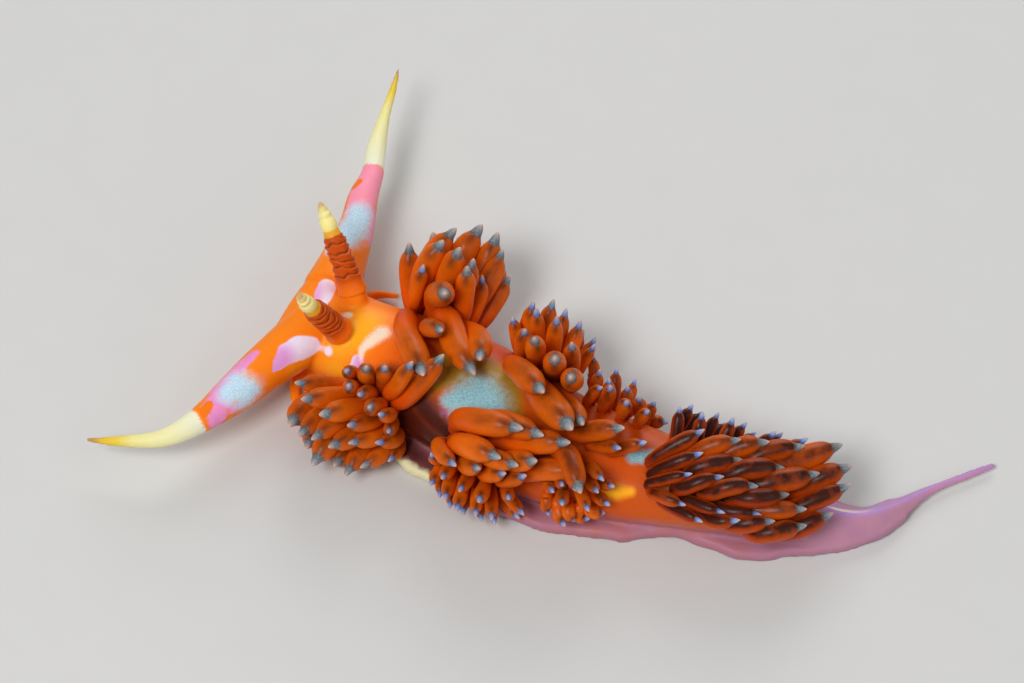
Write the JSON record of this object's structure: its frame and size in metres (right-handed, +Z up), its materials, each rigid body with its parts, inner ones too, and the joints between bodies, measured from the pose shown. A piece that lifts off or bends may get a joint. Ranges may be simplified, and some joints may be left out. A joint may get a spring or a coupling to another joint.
{
  "type": "aeolid nudibranch",
  "caption": "Life-size aeolid sea slug crawling on its foot, with long oral tentacles, ringed rhinophores and bunches of finger-like cerata along its back.",
  "frame": {"origin": "middle of the base of the animal's box, on the floor that it crawls on", "axes": "+X towards the tail along the animal's longest extent, +Y to its right, +Z up"},
  "size_m": [0.0579, 0.0378, 0.0105],
  "materials": {
    "head_skin": "wet, translucent orange skin with white and violet patches",
    "back_skin": "wet skin, dark red-brown flanks and a pale blue, fine-grained patch over the heart",
    "cerata_skin": "wet, translucent orange with a brown core, blue-grey ring and pale tip",
    "foot_skin": "wet, translucent pink-violet",
    "tentacle_tip": "wet, cream to pale yellow",
    "rhinophore_skin": "wet, rust-orange with a cream tip"
  },
  "bodies": {
    "root": {"head": "head_skin", "oral_tentacle_left_base": "head_skin", "oral_tentacle_left_tip": "tentacle_tip", "oral_tentacle_right_base": "head_skin", "oral_tentacle_right_tip": "tentacle_tip", "rhinophore_left": "rhinophore_skin", "rhinophore_right": "rhinophore_skin", "body_shoulder": "cerata_skin", "body_heart": "back_skin", "body_middle": "cerata_skin", "body_rear": "cerata_skin", "body_hind": "cerata_skin", "foot_front": "foot_skin", "foot_middle": "foot_skin", "foot_rear": "foot_skin", "tail_root": "foot_skin", "tail_tip": "foot_skin"}
  },
  "joints": []
}
